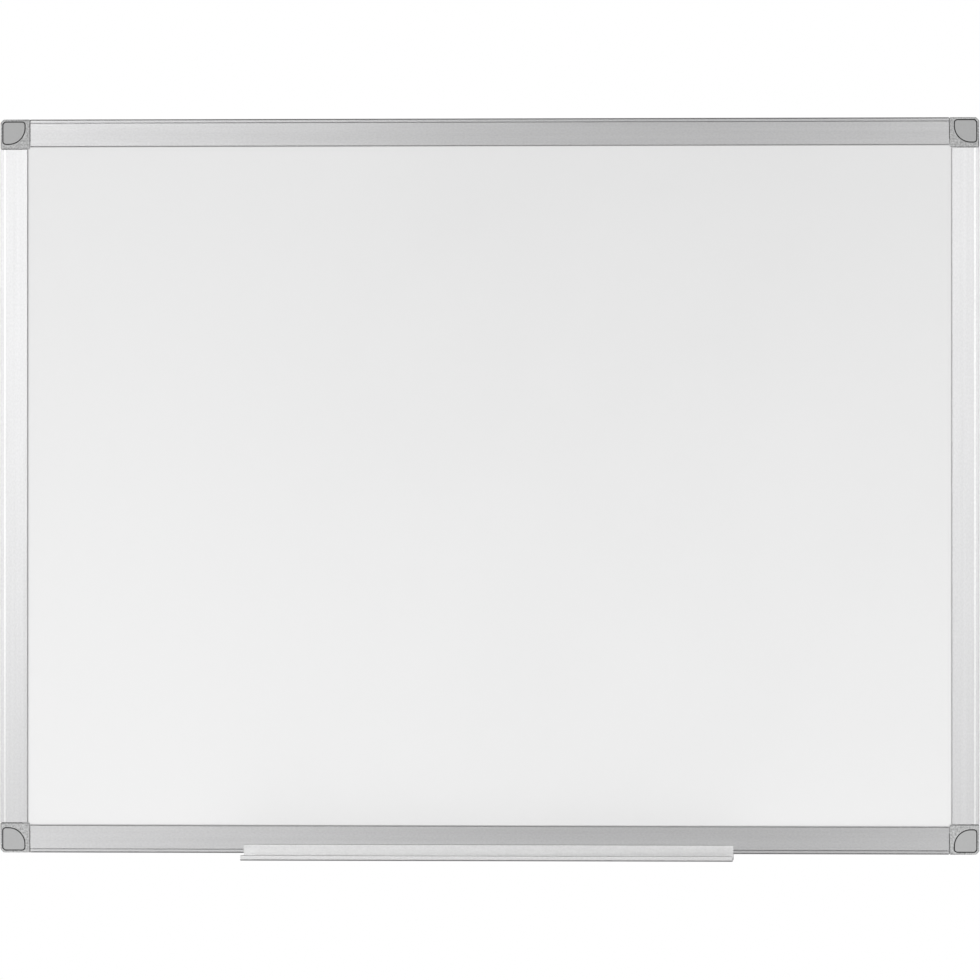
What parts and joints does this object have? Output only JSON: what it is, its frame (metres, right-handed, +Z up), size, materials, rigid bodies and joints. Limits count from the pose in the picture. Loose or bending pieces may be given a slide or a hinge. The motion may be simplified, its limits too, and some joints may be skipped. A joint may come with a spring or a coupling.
{
  "type": "melamine whiteboard",
  "caption": "Wall-hung whiteboard: a melamine panel in an aluminium frame with moulded corners, pull-off caps over the wall screws and a sliding pen tray.",
  "frame": {"origin": "midway between the four wall screws, in the plane of the wall behind the board", "axes": "+Z up, +X to the right as seen from the front, +Y into the wall; the writing face looks towards -Y"},
  "size_m": [0.6, 0.04, 0.4535],
  "materials": {
    "melamine": "satin",
    "fibreboard": "matte",
    "backing_paper": "matte",
    "anodised_rail": "satin",
    "anodised_stile": "satin",
    "tray_aluminium": "satin",
    "corner_plastic": "matte",
    "cap_plastic": "satin",
    "zinc_screw": "satin"
  },
  "bodies": {
    "board": {"writing_surface": "melamine", "core_board": "fibreboard", "backing_sheet": "backing_paper", "top_rail": "anodised_rail", "bottom_rail": "anodised_rail", "left_stile": "anodised_stile", "right_stile": "anodised_stile", "corner_block_top_left": "corner_plastic", "corner_block_top_right": "corner_plastic", "corner_block_bottom_left": "corner_plastic", "corner_block_bottom_right": "corner_plastic", "top_rail_screw_left": "zinc_screw", "top_rail_screw_right": "zinc_screw", "bottom_rail_screw_left": "zinc_screw", "bottom_rail_screw_right": "zinc_screw", "left_stile_screw_top": "zinc_screw", "left_stile_screw_bottom": "zinc_screw", "right_stile_screw_top": "zinc_screw", "right_stile_screw_bottom": "zinc_screw"},
    "tray": {"pen_tray": "tray_aluminium"},
    "cap_top_left": {"corner_cap_top_left": "cap_plastic"},
    "cap_top_right": {"corner_cap_top_right": "cap_plastic"},
    "cap_bottom_left": {"corner_cap_bottom_left": "cap_plastic"},
    "cap_bottom_right": {"corner_cap_bottom_right": "cap_plastic"}
  },
  "joints": [
    {"name": "tray_slide", "type": "slide", "parent": "board", "child": "tray", "axis": [1, 0, 0], "range_m": [-0.1315, 0.1315]},
    {"name": "cap_pull_top_left", "type": "slide", "parent": "board", "child": "cap_top_left", "axis": [0, -1, 0], "range_m": [0, 0.012]},
    {"name": "cap_pull_top_right", "type": "slide", "parent": "board", "child": "cap_top_right", "axis": [0, -1, 0], "range_m": [0, 0.012]},
    {"name": "cap_pull_bottom_left", "type": "slide", "parent": "board", "child": "cap_bottom_left", "axis": [0, -1, 0], "range_m": [0, 0.012]},
    {"name": "cap_pull_bottom_right", "type": "slide", "parent": "board", "child": "cap_bottom_right", "axis": [0, -1, 0], "range_m": [0, 0.012]}
  ]
}
